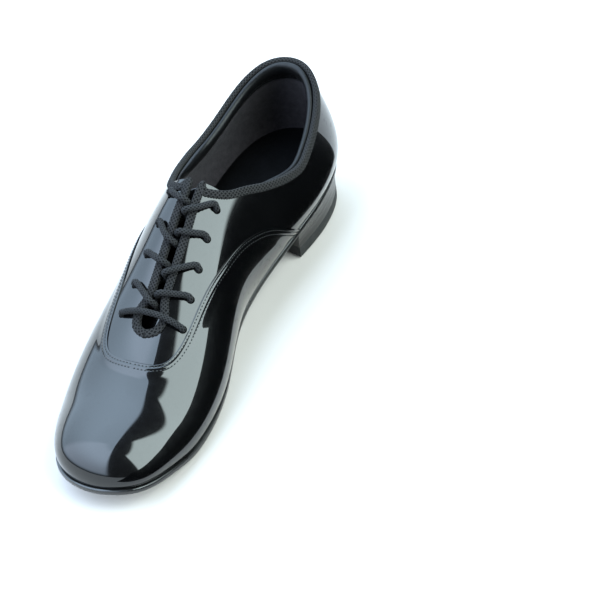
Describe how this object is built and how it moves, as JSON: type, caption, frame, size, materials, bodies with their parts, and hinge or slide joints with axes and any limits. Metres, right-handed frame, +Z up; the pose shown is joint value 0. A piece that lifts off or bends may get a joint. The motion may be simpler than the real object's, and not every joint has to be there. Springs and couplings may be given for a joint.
{
  "type": "lace-up tap shoe",
  "caption": "Low-cut lace-up oxford shoe for the right foot in black patent leather, with a stacked heel, screwed-on heel and toe taps, a hinged tongue and a bending ball of the foot.",
  "frame": {"origin": "middle of the shoe's outline on the ground it stands on", "axes": "-Y points to the toe, +Y to the heel, +X to the inner side of the right foot, +Z up"},
  "size_m": [0.0859, 0.2896, 0.0948],
  "materials": {
    "patent_leather": "high-gloss black patent",
    "black_leather": "smooth black",
    "lining": "dark grey lining cloth",
    "binding_tape": "herringbone tape",
    "lace_braid": "flat-lying round braid",
    "aglet": "wrapped film",
    "sole_leather": "dyed sole leather",
    "stiffener": "impregnated board",
    "cork_filler": "cork compound",
    "insole_board": "cellulose board",
    "rubber": "matte black",
    "aluminium": "cast and polished",
    "steel": "plated"
  },
  "bodies": {
    "rear": {"quarter": "patent_leather", "vamp_rear": "patent_leather", "quarter_lining": "lining", "vamp_lining_rear": "lining", "topline_binding": "binding_tape", "collar_padding": "black_leather", "heel_counter": "stiffener", "lace": "lace_braid", "lace_tail_inner": "lace_braid", "lace_tail_outer": "lace_braid", "aglet_inner": "aglet", "aglet_outer": "aglet", "outsole_rear": "sole_leather", "insole_board_rear": "insole_board", "sock_liner": "black_leather", "shank": "steel", "heel_block": "sole_leather", "heel_top_piece": "rubber", "heel_tap": "aluminium", "heel_tap_screw_1": "steel", "heel_tap_screw_2": "steel", "heel_tap_screw_3": "steel"},
    "forepart": {"outsole_forepart": "sole_leather", "insole_board_forepart": "insole_board", "bottom_filler": "cork_filler", "vamp_forepart": "patent_leather", "vamp_lining_forepart": "lining", "toe_puff": "stiffener", "toe_tap": "aluminium", "toe_tap_screw_1": "steel", "toe_tap_screw_2": "steel", "toe_tap_screw_3": "steel"},
    "tongue": {"tongue": "patent_leather", "tongue_lining": "lining"}
  },
  "joints": [
    {"name": "ball_flex", "type": "hinge", "parent": "rear", "child": "forepart", "pos_m": [0.00235, -0.06385, 0.0113], "axis": [-1, 0, 0], "range_deg": [0, 35], "stiffness_Nm_per_rad": 6, "deforming": ["vamp_rear", "vamp_forepart", "vamp_lining_rear", "vamp_lining_forepart", "sock_liner"]},
    {"name": "tongue_hinge", "type": "hinge", "parent": "rear", "child": "tongue", "pos_m": [0.00235, -0.06585, 0.0445], "axis": [1, 0, 0], "range_deg": [-12, 0], "stiffness_Nm_per_rad": 0.2}
  ]
}
